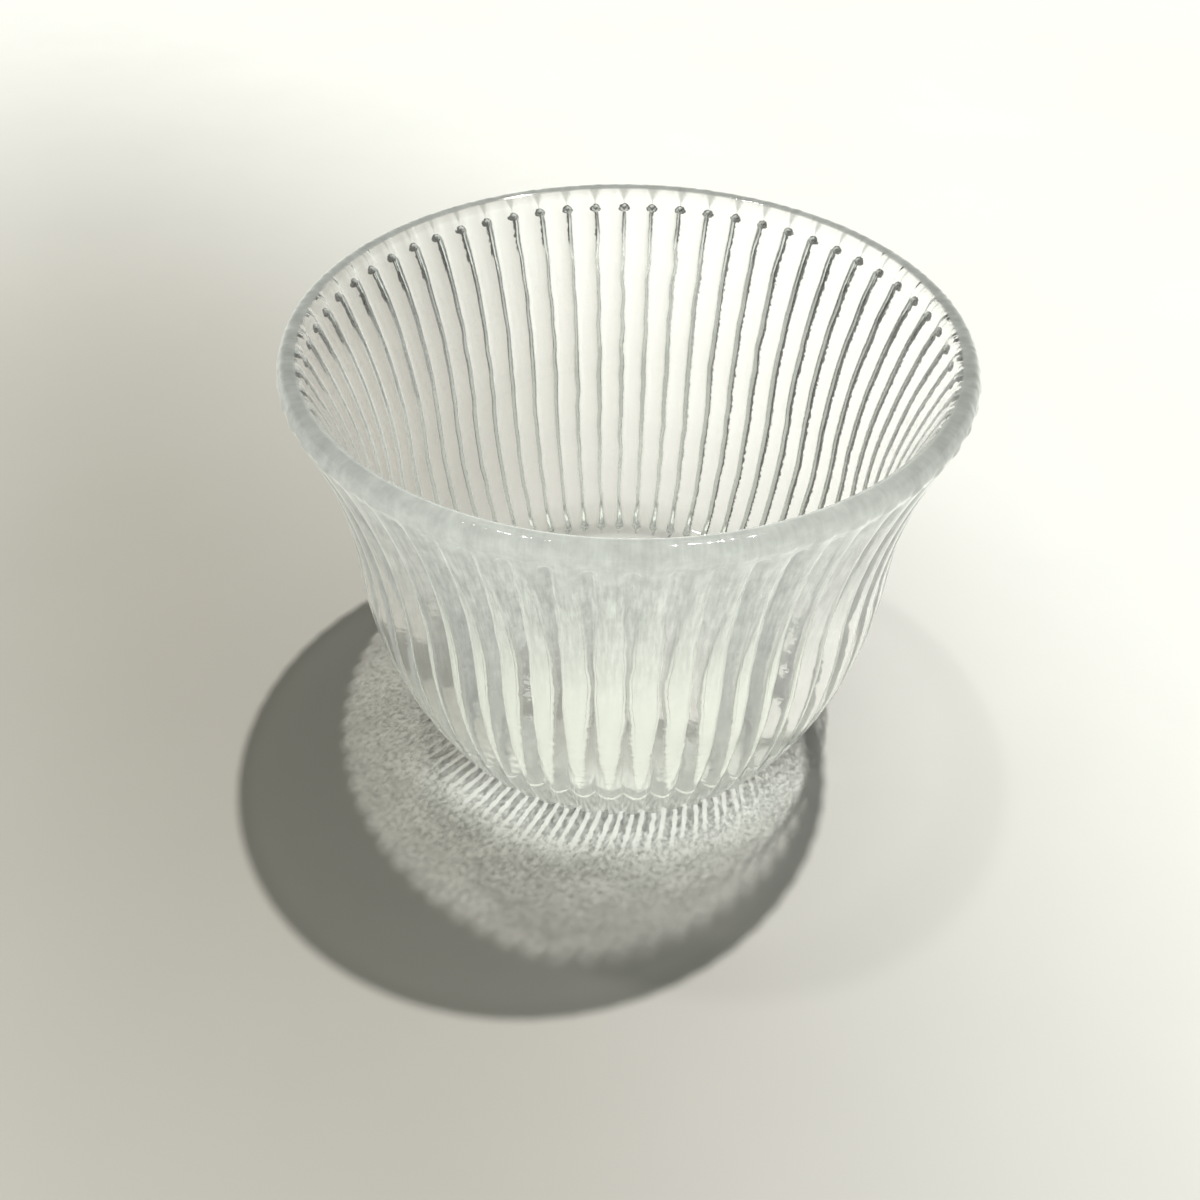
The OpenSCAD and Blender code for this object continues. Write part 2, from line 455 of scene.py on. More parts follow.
def smooth_surface(points, count):
    """A plain turned surface with evenly spaced angles."""
    return turned(points[:, :1], points[:, 1:], np.arange(count)[None, :] * 2 * math.pi / count)


# Mesh building

def grid_faces(start, rows, cols):
    """Triangles between the rings of a grid of vertices numbered from start."""
    col = np.arange(cols)
    nxt = (col + 1) % cols
    base = start + np.arange(rows - 1)[:, None] * cols
    a, b, c, d = base + col, base + nxt, base + cols + nxt, base + cols + col
    halves = np.stack([a, b, c], 2), np.stack([a, c, d], 2)
    return np.concatenate([half.reshape(-1, 3) for half in halves])


def zip_rings(low, low_angles, high, high_angles):
    """Triangles between two rings with different angles, each ring's vertices in turn."""
    faces, i, j = [], 0, 0
    n, m = len(low_angles), len(high_angles)
    turn = 2 * math.pi
    while i < n or j < m:
        next_low = low_angles[i + 1] if i + 1 < n else turn + (i + 1 > n)
        next_high = high_angles[j + 1] if j + 1 < m else turn + (j + 1 > m)
        if next_low <= next_high and i < n:
            faces.append((low + i, low + (i + 1) % n, high + j % m))
            i += 1
        else:
            faces.append((low + i % n, high + (j + 1) % m, high + j))
            j += 1
    return np.array(faces)


def cap_faces(pole, ring, count, outward):
    """A fan between a pole and a ring."""
    a = ring + np.arange(count)
    b = ring + (np.arange(count) + 1) % count
    pair = (b, a) if outward else (a, b)
    return np.stack([np.full(count, pole), *pair], 1)


def crease_bottoms(mesh, first, end, columns):
    """Marks the edges along the grooves' bottoms, each reed's first column, as sharp."""
    ends = np.empty(len(mesh.edges) * 2, int)
    mesh.edges.foreach_get("vertices", ends)
    ends = ends.reshape(-1, 2) - first
    at_bottom = (ends >= 0) & (ends < end - first) & (ends % columns == 0)
    sharp = mesh.attributes.new("sharp_edge", "BOOLEAN", "EDGE")
    sharp.data.foreach_set("value", at_bottom.all(1))


def glass_mesh(s, reeds):
    """The closed skin of the glass: underside, reeded outside and inside, zipped into one."""
    o = Outline(s)
    coarse = COARSE * reeds.count
    under = smooth_surface(o.under(s)[1:], coarse)
    outside, band, painted_shade = outside_surface(o, s, reeds)
    inside = smooth_surface(o.inside(s)[:-1], coarse)
    even = np.arange(coarse) * 2 * math.pi / coarse
    fine = fine_angles(reeds)
    parts = [under.reshape(-1, 3), outside.reshape(-1, 3), inside.reshape(-1, 3)]
    first_out = len(parts[0])
    first_in = first_out + len(parts[1])
    total = first_in + len(parts[2])
    poles = [[0, 0, o.under(s)[0, 1]], [0, 0, s.floor_z]]
    faces = np.concatenate([
        cap_faces(total, 0, coarse, True),
        grid_faces(0, len(under), coarse),
        zip_rings(first_out - coarse, even, first_out, fine),
        grid_faces(first_out, len(outside), len(fine)),
        zip_rings(first_in - len(fine), fine, first_in, even),
        grid_faces(first_in, len(inside), coarse),
        cap_faces(total + 1, total - coarse, coarse, False)])
    mesh = bpy.data.meshes.new("glass")
    mesh.from_pydata(np.concatenate(parts + [poles]).tolist(), [], faces.tolist())
    mesh.update()
    mesh.polygons.foreach_set("use_smooth", np.ones(len(mesh.polygons), bool))
    on_outside = np.ones(band.size)
    # The third share says where painted shade goes on the outside
    for name, share in (("outside", on_outside), ("band", band), ("painted_shade", painted_shade)):
        values = np.zeros(len(mesh.vertices), np.float32)
        values[first_out:first_in] = share.ravel()
        if name == "outside":
            values[first_in:first_in + 2 * coarse] = 1
        mesh.attributes.new(name, "FLOAT", "POINT").data.foreach_set("value", values)
    crease_bottoms(mesh, first_out, first_in, len(fine) // reeds.count)
    return mesh


# Materials

# Most values of a noise lie between these two.
NOISE_ENDS = (0.35, 0.65)


class Graph:
    """Adds nodes to a node tree and joins them.

    A term is a number, a colour or a (node, output) pair, and each method that works something
    out gives such a pair."""

    def __init__(self, tree):
        self.nodes, self.links = tree.nodes, tree.links

    def add(self, kind, values=(), **settings):
        """A node with its input values, given by name or number, and its settings."""
        node = self.nodes.new(kind)
        for name, value in settings.items():
            setattr(node, name, value)
        for name, value in dict(values).items():
            node.inputs[name].default_value = value
        return node

    def join(self, source, out, target, into):
        """Leads an output of one node into an input of another."""
        self.links.new(source.outputs[out], target.inputs[into])

    def fill(self, node, *terms, first=0):
        """Sets a node's inputs in turn, from the one numbered first on, to terms."""
        for place, term in enumerate(terms, first):
            if isinstance(term, tuple) and isinstance(term[0], bpy.types.Node):
                self.join(*term, node, place)
            else:
                node.inputs[place].default_value = term

    def maths(self, operation, *terms):
        """A sum of up to three terms."""
        node = self.add("ShaderNodeMath", operation=operation)
        self.fill(node, *terms)
        return node, 0

    def vectors(self, operation, *terms, out=0):
        """A sum of colours or places."""
        node = self.add("ShaderNodeVectorMath", operation=operation)
        self.fill(node, *terms)
        return node, out

    def product(self, first, *others):
        """Terms multiplied together."""
        for other in others:
            first = self.maths("MULTIPLY", first, other)
        return first

    def rest(self, term):
        """One less a term."""
        return self.maths("SUBTRACT", 1.0, term)

    def span(self, value, low, high, to_low=0.0, to_high=1.0, way="LINEAR"):
        """A value between low and high, mapped onto to_low and to_high and held at these ends."""
        ends = {"From Min": low, "From Max": high, "To Min": to_low, "To Max": to_high}
        node = self.add("ShaderNodeMapRange", ends, interpolation_type=way)
        self.join(*value, node, "Value")
        return node, 0

    def step(self, value, low, high, to_low=0.0, to_high=1.0):
        """The same with a smooth step between the ends."""
        return self.span(value, low, high, to_low, to_high, way="SMOOTHSTEP")

    def blend(self, share, *colours):
        """The mix of two colours, which are a node's inputs 6 and 7 and its output 2."""
        mix = self.add("ShaderNodeMix", data_type="RGBA")
        self.join(*share, mix, "Factor")
        self.fill(mix, *colours, first=6)
        return mix, 2

    def scaled(self, colour, share):
        """A colour times a term."""
        node = self.add("ShaderNodeVectorMath", operation="SCALE")
        self.join(*colour, node, 0)
        self.join(*share, node, "Scale")
        return node, 0

    def noise(self, place, scale, detail, roughness=0.5):
        """Cloudy noise at a place."""
        values = {"Scale": scale, "Detail": detail, "Roughness": roughness}
        node = self.add("ShaderNodeTexNoise", values)
        self.join(*place, node, "Vector")
        return node, 0

    def bump(self, height, strength, distance):
        """Normals tilted by the slopes of a height."""
        node = self.add("ShaderNodeBump", {"Strength": strength, "Distance": distance})
        self.join(*height, node, "Height")
        return node, "Normal"


class GroupGraph(Graph):
    """The graph of a new node group with named values, colours and vectors."""

    KINDS = {"value": "Float", "colour": "Color", "vector": "Vector"}

    def __init__(self, name, inputs, outputs):
        self.group = bpy.data.node_groups.new(name, "ShaderNodeTree")
        for way, sockets in (("INPUT", inputs), ("OUTPUT", outputs)):
            for kind, names in sockets.items():
                kind = "NodeSocket" + self.KINDS[kind]
                for socket in names:
                    self.group.interface.new_socket(socket, in_out=way, socket_type=kind)
        super().__init__(self.group)
        self.source, self.sink = self.add("NodeGroupInput"), self.add("NodeGroupOutput")

    def given(self, name):
        """An input of the group."""
        return self.source, name

    def give(self, term, name):
        """Leads a term out of the group."""
        self.join(*term, self.sink, name)

    def axes(self):
        """The x, y and z of the point that the group's Vector gives."""
        split = self.add("ShaderNodeSeparateXYZ")
        self.join(*self.given("Vector"), split, 0)
        return (split, "X"), (split, "Y"), (split, "Z")

    def radius(self):
        """The point's distance from the axis."""
        flat = self.vectors("MULTIPLY", self.given("Vector"), (1, 1, 0))
        return self.vectors("LENGTH", flat, out="Value")

    def cloud(self, scale, low, high):
        """A cloudy factor between low and high."""
        cloud = self.noise(self.given("Vector"), scale, 4.0, 0.6)
        return self.span(cloud, *NOISE_ENDS, low, high)

    def round_wall(self, turns, rises, scale, detail, roughness):
        """Noise laid round the glass by its angle and height, and the angle itself."""
        x, y, z = self.axes()
        angle = self.maths("ARCTAN2", y, x)
        rows = self.add("ShaderNodeCombineXYZ")
        self.join(*self.product(angle, turns), rows, "X")
        self.join(*self.product(z, rises), rows, "Y")
        return angle, self.noise((rows, 0), scale, detail, roughness)


# Painted milky veil on the outside, a pale glow: from one height to another, and its shares there
LIP_VEIL = (48 * MM, 56.5 * MM, 0.0, 0.20)
FLARE_VEIL = (26 * MM, 48 * MM, 0.10, 0.72)
BASE_VEIL = (13 * MM, 5 * MM, 0.0, 0.50)


def painted_veil_share(graph, height):
    """How milky the outside looks under its painted veil: most up the flare and on the lip, and
    some at the base.
    """
    wall = graph.maths("ADD", graph.step(height, *LIP_VEIL), graph.step(height, *FLARE_VEIL))
    share = graph.maths("MAXIMUM", wall, graph.step(height, *BASE_VEIL))
    return graph.product(share, graph.given("Outside"), graph.given("Camera"))


# The skin's noises, by scale, detail and roughness, and the fine one's share
COARSE_GRAIN = (420.0, 3.0, 0.6)
FINE_GRAIN = (1500.0, 2.0)
FINE_SHARE = 0.25
# Strength and height of the skin's bump, and its roughness's factor by the coarse noise
SKIN_BUMP = (0.35, 0.08 * MM)
ROUGH_PATCHES = (0.45, 0.75, 0.3, 1.7)


def pressed_skin_group():
    """Fine unevenness that pressing leaves: a bump of two noises, and a patchy roughness.

    Only the outside, seen straight from the camera, is rough."""
    graph = GroupGraph(
        "pressed_skin",
        {"vector": ["Vector"], "value": ["Roughness", "Outside", "Camera"]},
        {"value": ["Roughness"], "vector": ["Normal"]})
    coarse = graph.noise(graph.given("Vector"), *COARSE_GRAIN)
    fine = graph.noise(graph.given("Vector"), *FINE_GRAIN)
    height = graph.maths("ADD", coarse, graph.product(fine, FINE_SHARE))
    graph.give(graph.bump(height, *SKIN_BUMP), "Normal")
    patch = graph.span(coarse, *ROUGH_PATCHES)
    seen = graph.product(graph.given("Outside"), graph.given("Camera"))
    graph.give(graph.product(patch, graph.given("Roughness"), seen), "Roughness")
    return graph.group


# The heights between which the base's thick glass begins
THICK_BASE = (10 * MM, 3 * MM)
# Painted shade along the grooves' bottoms: its noise, how far that reaches, its edge and its
# strength
PAINTED_SHADE_NOISE = (1800.0, 3.0, 0.8)
PAINTED_SHADE_GRAIN = 2.0
PAINTED_SHADE_STEP = (0.38, 0.58)
PAINTED_SHADE_STRENGTH = 0.985
# The painted shade is faint on the left and strong on the right and in the dimples, which start
# here
PAINTED_SHADE_SIDE = (-4 * MM, 16 * MM, 0.12, 1.0)
DIMPLE_LEVEL = (50.5 * MM, 51.5 * MM)
# How much painted shade darkens the band between the reeds' arches, and the wall towards the left
BAND_STRENGTH = 0.55
LEFT_SHADE = (-6 * MM, -32 * MM, 0.0, 0.3)


def tint_and_painted_shade_group():
    """Colour by thickness, dimmed under the painted milky veil.

    First is 1 for rays that have met one surface before, such as the inside of the far wall. To
    them the grooves' bottoms, the dimples and the band get painted shade, and the left is painted
    greyer."""
    graph = GroupGraph(
        "thick_tint",
        {"vector": ["Vector"], "value": ["Band", "Outside", "Painted_shade", "Camera", "First"],
         "colour": ["Thin", "Thick"]},
        {"colour": ["Base Color"]})
    x, _, height = graph.axes()
    share = graph.maths("MAXIMUM", graph.given("Band"), graph.step(height, *THICK_BASE))
    tint = graph.blend(share, graph.given("Thin"), graph.given("Thick"))
    # The painted milky veil dims what the glass lets through, and glows pale in the glow group
    clear = graph.rest(painted_veil_share(graph, height))
    grain = graph.maths("SUBTRACT", graph.noise(graph.given("Vector"), *PAINTED_SHADE_NOISE), 0.5)
    near = graph.maths("ADD", graph.given("Painted_shade"), graph.product(grain, PAINTED_SHADE_GRAIN))
    strong = graph.maths("MAXIMUM", graph.step(x, *PAINTED_SHADE_SIDE), graph.step(height, *DIMPLE_LEVEL))
    # Painted shade: dark lines in the grooves and dimples, a darker band and a greyer left side
    painted_shade = graph.product(graph.step(near, *PAINTED_SHADE_STEP), strong, PAINTED_SHADE_STRENGTH)
    painted_shade = graph.maths("MAXIMUM", painted_shade, graph.product(graph.given("Band"), BAND_STRENGTH))
    painted_shade = graph.maths("MAXIMUM", painted_shade, graph.step(x, *LEFT_SHADE))
    light = graph.rest(graph.product(painted_shade, graph.given("First")))
    graph.give(graph.scaled(tint, graph.product(clear, clear, light)), "Base Color")
    return graph.group


# Noise round the wall: factors for angle and height, scale, detail and roughness
SHADE_STREAKS = (14.0, 200.0, 3.8, 6.0, 0.75)
GLOW_STROKES = (30.0, 90.0, 2.6, 5.0, 0.7)
# The mottled light in the shadow: its factor by the streaks, and its clouds
MOTTLE = (0.36, 0.64, 0.3, 1.7)
SHADE_CLOUD = (160.0, 0.8, 1.2)
# The pale patch in the shadow: the slant of its edge, and the places between which it ends
PATCH_SLANT = -0.571
PATCH_EDGE = (47 * MM, 41 * MM)
PATCH_TOP = (50 * MM, 40 * MM)
PATCH_LEVEL = (8 * MM, 45 * MM, 0.66, 0.48)
PATCH_FOOT = (2 * MM, 9 * MM, 0.75, 1.0)
# The light that the wall lets through outside the patch
SHADOW_LEVEL = 0.04
# The bright teeth before the foot, two for each reed, and where they end
TEETH = 120.0
TOOTH_WOBBLE = 1.6
TOOTH_STEP = (-0.1, 0.9, -0.16, 1.1)
TEETH_TOP = (10 * MM, 3 * MM)
TEETH_RIGHT = (25 * MM, 8 * MM)
TEETH_LEFT = (-34 * MM, -14 * MM)
TEETH_BACK = (-4 * MM, -20 * MM)
# The back of the wall lets the lamps light the table under the glass
BACK_LIGHT = (10 * MM, 24 * MM, 0.0, 0.9)
BACK_SIDES = (25 * MM, 16 * MM)


def through_light_group():
    """How much lamp light the glass stops, for shadow rays only.

    The inside and the underside let it all through. The outside stops nearly all of it high up
    and less lower down, in a mottled patch, and lets bright teeth through just above the foot.
    The middle of its back is open."""
    graph = GroupGraph(
        "through_light",
        {"vector": ["Vector"], "value": ["Outside", "Shadow"]}, {"value": ["Alpha"]})
    x, y, height = graph.axes()
    angle, streaks = graph.round_wall(*SHADE_STREAKS)
    slant = graph.maths("ADD", height, graph.product(x, PATCH_SLANT))
    level = graph.product(
        graph.step(slant, *PATCH_EDGE), graph.step(height, *PATCH_TOP),
        graph.product(graph.step(height, *PATCH_LEVEL), graph.step(height, *PATCH_FOOT)))
    level = graph.product(graph.maths("ADD", level, SHADOW_LEVEL), graph.cloud(*SHADE_CLOUD))
    patch = graph.product(level, graph.span(streaks, *MOTTLE))
    wave = graph.maths("COSINE", graph.product(angle, TEETH))
    wobble = graph.product(graph.maths("SUBTRACT", streaks, 0.5), TOOTH_WOBBLE)
    tooth = graph.step(graph.maths("ADD", wave, wobble), *TOOTH_STEP)
    front = graph.product(
        graph.step(x, *TEETH_RIGHT), graph.step(x, *TEETH_LEFT), graph.step(y, *TEETH_BACK))
    teeth = graph.product(tooth, graph.step(height, *TEETH_TOP), front)
    sideways = graph.maths("ABSOLUTE", x)
    back = graph.product(graph.step(y, *BACK_LIGHT), graph.step(sideways, *BACK_SIDES))
    passed = graph.maths("MAXIMUM", graph.maths("ADD", patch, teeth), back)
    clamp = graph.add("ShaderNodeClamp")
    graph.join(*passed, clamp, "Value")
    stopped = graph.product(graph.given("Outside"), graph.rest((clamp, 0)))
    graph.give(graph.rest(graph.product(graph.rest(stopped), graph.given("Shadow"))), "Alpha")
    return graph.group


# Where the painted glow of caught light is pale in the far wall: on the left, and in the middle
# lower down
LEFT_GLOW = (-10 * MM, -32 * MM)
MIDDLE_OFF = 1 * MM
MIDDLE_GLOW = (15 * MM, 4 * MM)
MIDDLE_TOP = (50 * MM, 36 * MM)
PALE_TOP = (51.5 * MM, 46 * MM)
# Where the colours of the painted glow and of the painted veil change: to the front, and at the
# base and lip
FRONT_GLOW = (26 * MM, -6 * MM)
BASE_GLOW = (16 * MM, 9 * MM)
VEIL_COLOUR_SPLIT = (14 * MM, 7 * MM)
LIP_GLOW = (55.5 * MM, 57 * MM)
# The painted glow is brightest right in front and cloudy, and its upright strokes fade on the lip
FRONT_LEVEL = (-18 * MM, -41 * MM, 0.84, 1.36)
GLOW_CLOUD = (420.0, 0.9, 1.1)
STROKE_LEVELS = (0.78, 1.22)
STROKE_FADE = (57 * MM, 50 * MM, 0.25, 1.0)


def glow_group():
    """The painted glow of the glass: emission that stands in for light caught in it, and a faint
    painted milky veil on its outside.

    The painted glow of caught light shows only on the last bounce of a ray, which would otherwise
    end in black. It is pale green grey in the lip and the base and towards the front, and dark at
    the back."""
    graph = GroupGraph(
        "glow",
        {"vector": ["Vector"], "value": ["Outside", "Camera", "Last"],
         "colour": ["Front", "Back", "Lip", "Base"]},
        {"colour": ["Emission Color"]})
    x, y, height = graph.axes()
    lip, base = graph.given("Lip"), graph.given("Base")
    off = graph.maths("ABSOLUTE", graph.maths("ADD", x, MIDDLE_OFF))
    middle = graph.product(graph.step(off, *MIDDLE_GLOW), graph.step(height, *MIDDLE_TOP))
    pale = graph.maths("MAXIMUM", graph.step(x, *LEFT_GLOW), middle)
    pale = graph.product(pale, graph.step(height, *PALE_TOP))
    back = graph.blend(pale, graph.given("Back"), lip)
    wall = graph.blend(graph.step(y, *FRONT_GLOW), back, graph.given("Front"))
    wall = graph.blend(graph.step(height, *BASE_GLOW), wall, base)
    caught = graph.blend(graph.step(height, *LIP_GLOW), wall, lip)
    # Colour of the painted veil's glow: the lip's colour above, the base's below
    veil_colour = graph.blend(graph.step(height, *VEIL_COLOUR_SPLIT), lip, base)
    strokes = graph.span(graph.round_wall(*GLOW_STROKES)[1], *NOISE_ENDS, *STROKE_LEVELS)
    stroke = graph.product(graph.maths("SUBTRACT", strokes, 1.0), graph.step(height, *STROKE_FADE))
    stroke = graph.maths("ADD", stroke, 1.0)
    bright = graph.product(graph.step(y, *FRONT_LEVEL), graph.cloud(*GLOW_CLOUD), stroke)
    # Painted light: the glow of caught light on a ray's last bounce, and the veil's pale glow
    light = graph.scaled(caught, graph.product(graph.given("Last"), bright))
    veil = graph.scaled(veil_colour, graph.product(painted_veil_share(graph, height), bright))
    graph.give(graph.vectors("ADD", light, veil), "Emission Color")
    return graph.group


def new_material(name, values):
    """A material, its graph and its shader, which gets these values."""
    material = bpy.data.materials.new(name)
    material.use_nodes = True
    graph = Graph(material.node_tree)
    shader = graph.nodes["Principled BSDF"]
    for socket, value in values.items():
        shader.inputs[socket].default_value = value
    return material, graph, shader


def place_group(graph, tree, **values):
    """A node group in a material, with its numbers and its colours."""
    node = graph.add("ShaderNodeGroup", node_tree=tree)
    for name, value in values.items():
        node.inputs[name].default_value = value if isinstance(value, float) else (*value, 1)
    return node


def glass_material(finish):
    """Clear pressed glass, very slightly green in the thick parts."""
    values = {"Metallic": 0, "Transmission Weight": 1, "IOR": 1.52, "Emission Strength": 1}
    material, graph, shader = new_material("clear_pressed_glass", values)
    place = graph.add("ShaderNodeTexCoord")
    path = graph.add("ShaderNodeLightPath")
    shares = {name: graph.add("ShaderNodeAttribute", attribute_name=name.lower())
              for name in ("Outside", "Band", "Painted_shade")}
    skin = place_group(graph, pressed_skin_group(), Roughness=finish.roughness)
    tint = place_group(graph, tint_and_painted_shade_group(), Thin=finish.tint, Thick=finish.thick_tint)
    through = place_group(graph, through_light_group())
    # The glow group paints light on the glass as emission
    glow = place_group(
        graph, glow_group(), Front=finish.glow_front, Back=finish.glow_back,
        Lip=finish.glow_lip, Base=finish.glow_base)
    for group in (skin, tint, through, glow):
        graph.join(place, "Object", group, "Vector")
        graph.join(shares["Outside"], "Fac", group, "Outside")
    for group in (skin, tint, glow):
        graph.join(path, "Is Camera Ray", group, "Camera")
    # The band's share and the share of painted shade feed the glass's colour
    for name in ("Band", "Painted_shade"):
        graph.join(shares[name], "Fac", tint, name)
    first = graph.maths("COMPARE", (path, "Ray Depth"), 1.0, HALF_BOUNCE)
    graph.join(*first, tint, "First")
    graph.join(path, "Is Shadow Ray", through, "Shadow")
    last = graph.maths("GREATER_THAN", (path, "Ray Depth"), BOUNCES - HALF_BOUNCE)
    graph.join(*last, glow, "Last")
    for group, name in ((skin, "Roughness"), (skin, "Normal"), (tint, "Base Color"),
                        (through, "Alpha"), (glow, "Emission Color")):
        graph.join(group, name, shader, name)
    return material


# The pool of painted shade on the table: its centre, its turn and its half axes
SHADE_POOL_CENTRE = (-71 * MM, 4 * MM, 0)
SHADE_POOL_TURN = 0.456
SHADE_POOL_HALF = (160 * MM, 382 * MM, 1)
# Painted light: the table is pale under the foot, and in a ring that is in front of it only
UNDER_FOOT = (29 * MM, 26 * MM)
FOOT_RING = (39 * MM, 31 * MM)
RING_FRONT = (-17 * MM, -27 * MM)
# Light that comes through the glass is a little green: its middle on the table and its edge
GREEN_CENTRE = (-6 * MM, -10 * MM, 0)
GREEN_EDGE = (40 * MM, 30 * MM)
GREEN = (0.97, 1, 0.98, 1)
WHITE = (1, 1, 1, 1)
# The paper's clouds and its tooth: their noises, the clouds' levels, and the tooth's bump
PAPER_CLOUDS = (14.0, 4.0, 0.6)
PAPER_LEVELS = (0.3, 0.7, 0.955, 1.0)
PAPER_TOOTH = (900.0, 2.0)
PAPER_BUMP = (0.25, 0.05 * MM)


def paper_and_painted_light_group():
    """Matt paper, slightly cloudy, with a fine tooth, with painted shade and painted light on it.

    A long soft pool of painted shade darkens it to one side. The pool is an ellipse: its distance
    is the length of the place in the ellipse's own axes, and the colour goes from dark to pale by
    a smooth step of that distance. Painted light makes the paper pale again under and before the
    foot, where the glass gathers the lamps' light, and a little green in a round about there."""
    graph = GroupGraph(
        "paper",
        {"vector": ["Vector"], "colour": ["Pale", "Dark", "Lit"]},
        {"colour": ["Base Color"], "vector": ["Normal"]})
    place = graph.given("Vector")
    # The pool of painted shade, an ellipse in its own axes
    axes = {"Location": SHADE_POOL_CENTRE, "Rotation": (0, 0, SHADE_POOL_TURN), "Scale": SHADE_POOL_HALF}
    pool = graph.add("ShaderNodeMapping", axes, vector_type="TEXTURE")
    graph.join(*place, pool, "Vector")
    away = graph.step(graph.vectors("LENGTH", (pool, 0), out="Value"), 0.0, 1.0)
    radius, y = graph.radius(), graph.axes()[1]
    # Painted light: pale under the foot and in a ring in front of it
    ring = graph.product(graph.step(radius, *FOOT_RING), graph.step(y, *RING_FRONT))
    lit = graph.maths("MAXIMUM", graph.step(radius, *UNDER_FOOT), ring)
    # Painted shade in the pool, then painted light by the foot
    colour = graph.blend(away, graph.given("Dark"), graph.given("Pale"))
    colour = graph.blend(lit, colour, graph.given("Lit"))
    off = graph.vectors("DISTANCE", place, GREEN_CENTRE, out="Value")
    green = graph.blend(graph.step(off, *GREEN_EDGE), WHITE, GREEN)
    colour = graph.vectors("MULTIPLY", colour, green)
    level = graph.span(graph.noise(place, *PAPER_CLOUDS), *PAPER_LEVELS)
    graph.give(graph.scaled(colour, level), "Base Color")
    graph.give(graph.bump(graph.noise(place, *PAPER_TOOTH), *PAPER_BUMP), "Normal")
    return graph.group


def table_material(stage):
    """Plain pale paper, a little brighter where it is seen through the glass, by a painted glow.
    """
    values = {"Roughness": 0.9, "Specular IOR Level": 0.1, "Emission Color": (1, 1, 0.95, 1)}
    material, graph, shader = new_material("pale_table", values)
    place = graph.add("ShaderNodeTexCoord")
    path = graph.add("ShaderNodeLightPath")
    paper = place_group(
        graph, paper_and_painted_light_group(), Pale=stage.table, Dark=stage.table_shaded, Lit=stage.table_lit)
    graph.join(place, "Object", paper, "Vector")
    graph.join(paper, "Base Color", shader, "Base Color")
    graph.join(paper, "Normal", shader, "Normal")
    # Painted light: emission on the table for rays that come through the glass
    lift = graph.product((path, "Is Transmission Ray"), stage.lift)
    graph.join(*lift, shader, "Emission Strength")
    return material


# Operators

# The lamps: the direction of each, its strength and how wide its disc is
LAMPS = {
    "right_lamp": ((0.221, 0.290, 1), 2.25, math.radians(1.5)),
    "left_lamp": ((-0.235, 0.245, 1), 0.26, math.radians(3)),
}
LAMP_COLOUR = (1, 0.99, 0.96)
# The surround: its level to the camera and to the table, and to the glass by how steep a ray is
SEEN_LEVEL = 0.92
SOFT_LEVEL = 0.34
RISE_LEVEL = (0.1, 0.5, 0.9, 0.1)
ROOM_COLOUR = (0.95, 1, 0.91, 1)
BACKDROP_COLOUR = (1, 1, 0.97, 1)
# The camera, fitted to the photograph: its place, lens and sensor, and its turns in degrees
CAMERA_PLACE = Vector((-3.151, -123.527, 129.704)) * MM
CAMERA_LENS = 34.413
CAMERA_SENSOR = 36
CAMERA_PITCH = 43.251
CAMERA_ROLL = 0.384
CAMERA_CLIP = (0.005, 20)
# How far the table lies under the foot, so that no two faces share a place
TABLE_GAP = 0.02 * MM


class OBJECT_OT_tea_glass(bpy.types.Operator):
    """Build the glass as one closed skin"""

    bl_idname = "object.tea_glass"
    bl_label = "Glass"

    def execute(self, context):
        scene = context.scene
        mesh = glass_mesh(scene.tea_glass_shape, scene.tea_glass_reeds)
        mesh.materials.append(glass_material(scene.tea_glass_finish))
        piece = bpy.data.objects.new("glass", mesh)
        scene.collection.objects.link(piece)
        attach(piece, "root")
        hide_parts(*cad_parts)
        return {"FINISHED"}


class OBJECT_OT_tea_glass_stage(bpy.types.Operator):
    """Set out the table, the lamps and the camera"""

    bl_idname = "object.tea_glass_stage"
    bl_label = "Table, lamps and camera"

    def execute(self, context):
        scene = context.scene
        add_table(scene, scene.tea_glass_stage)
        for name, lamp in LAMPS.items():
            add_sun(scene, name, *lamp)
        add_world(scene)
        add_camera(scene)
        scene.view_settings.view_transform = "Standard"
        for kind in ("max_bounces", "glossy_bounces", "transmission_bounces"):
            setattr(scene.cycles, kind, BOUNCES)
        scene.cycles.caustics_refractive = scene.cycles.caustics_reflective = False
        return {"FINISHED"}


def add_table(scene, stage):
    """The table, a square sheet under the glass."""
    half = stage.table_size / 2
    corners = [(-half, -half, 0), (half, -half, 0), (half, half, 0), (-half, half, 0)]
    mesh = bpy.data.meshes.new("table")
    mesh.from_pydata(corners, [], [(0, 1, 2, 3)])
    mesh.materials.append(table_material(stage))
    table = bpy.data.objects.new("table", mesh)
    table.location.z = -TABLE_GAP
    scene.collection.objects.link(table)


def add_sun(scene, name, towards, strength, angle):
    """A distant lamp whose light comes from a direction, as a soft disc."""
    data = bpy.data.lights.new(name, "SUN")
    data.energy = strength
    data.color = LAMP_COLOUR
    data.angle = angle
    lamp = bpy.data.objects.new(name, data)
    lamp.rotation_euler = Vector(towards).to_track_quat("Z", "Y").to_euler()
    scene.collection.objects.link(lamp)


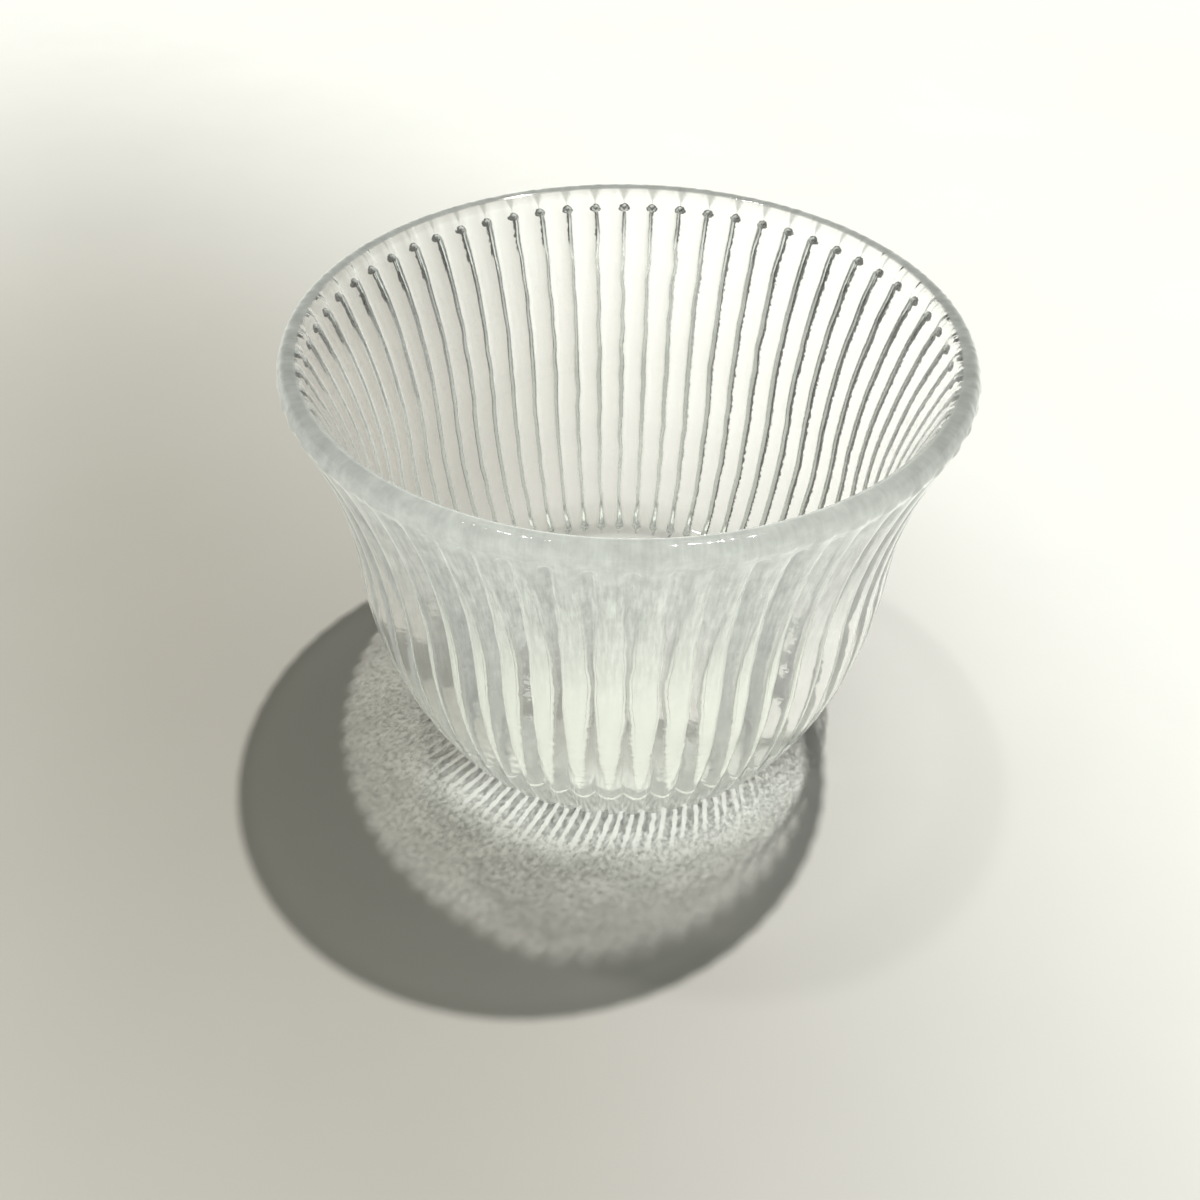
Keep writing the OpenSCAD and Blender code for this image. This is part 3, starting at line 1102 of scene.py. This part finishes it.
def add_world(scene):
    """The room round the table.

    Straight to the camera it is pale. To the glass it is pale near the horizon, like the table
    running on, and dim higher up. To the table it is an even, soft grey."""
    world = bpy.data.worlds.new("surround")
    world.use_nodes = True
    graph = Graph(world.node_tree)
    back = graph.nodes["Background"]
    place = graph.add("ShaderNodeTexCoord")
    split = graph.add("ShaderNodeSeparateXYZ")
    graph.join(place, "Generated", split, 0)
    path = graph.add("ShaderNodeLightPath")
    camera = path, "Is Camera Ray"
    glass = graph.maths("MAXIMUM", (path, "Is Glossy Ray"), (path, "Is Transmission Ray"))
    to_glass = graph.product(graph.step((split, "Z"), *RISE_LEVEL), glass)
    to_camera = graph.product(camera, SEEN_LEVEL)
    to_table = graph.product(graph.rest(graph.maths("MAXIMUM", glass, camera)), SOFT_LEVEL)
    total = graph.maths("ADD", graph.maths("ADD", to_glass, to_camera), to_table)
    graph.join(*total, back, "Strength")
    graph.join(*graph.blend(camera, ROOM_COLOUR, BACKDROP_COLOUR), back, "Color")
    scene.world = world


def add_camera(scene):
    """The camera at the photograph's viewing angle."""
    data = bpy.data.cameras.new("camera")
    data.sensor_width = CAMERA_SENSOR
    data.lens = CAMERA_LENS
    data.clip_start, data.clip_end = CAMERA_CLIP
    camera = bpy.data.objects.new("camera", data)
    tilt = Matrix.Rotation(math.radians(90) - math.radians(CAMERA_PITCH), 4, "X")
    roll = Matrix.Rotation(math.radians(CAMERA_ROLL), 4, "Z")
    camera.matrix_world = Matrix.Translation(CAMERA_PLACE) @ tilt @ roll
    scene.collection.objects.link(camera)
    scene.camera = camera


class VIEW3D_PT_tea_glass(bpy.types.Panel):
    """Lists the glass's operators and settings"""

    bl_label = "Tea Glass"
    bl_idname = "VIEW3D_PT_tea_glass"
    bl_space_type = "VIEW_3D"
    bl_region_type = "UI"
    bl_category = "Tea Glass"

    def draw(self, context):
        for operator in (OBJECT_OT_tea_glass, OBJECT_OT_tea_glass_stage):
            self.layout.operator(operator.bl_idname)
        for name in SETTINGS:
            group = getattr(context.scene, name)
            for key in group.bl_rna.properties.keys():
                if key not in ("rna_type", "name"):
                    self.layout.prop(group, key)


SETTINGS = {
    "tea_glass_shape": TeaGlassShape,
    "tea_glass_reeds": TeaGlassReeds,
    "tea_glass_finish": TeaGlassFinish,
    "tea_glass_stage": TeaGlassStage,
}
CLASSES = (
    *SETTINGS.values(), OBJECT_OT_tea_glass, OBJECT_OT_tea_glass_stage, VIEW3D_PT_tea_glass)


def register():
    for cls in CLASSES:
        bpy.utils.register_class(cls)
    for name, group in SETTINGS.items():
        setattr(bpy.types.Scene, name, PointerProperty(type=group))


def unregister():
    for name in SETTINGS:
        delattr(bpy.types.Scene, name)
    for cls in reversed(CLASSES):
        bpy.utils.unregister_class(cls)


def main():
    """Builds everything."""
    register()
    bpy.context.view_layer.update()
    bpy.ops.object.tea_glass()
    bpy.ops.object.tea_glass_stage()


if __name__ == "__main__":
    main()
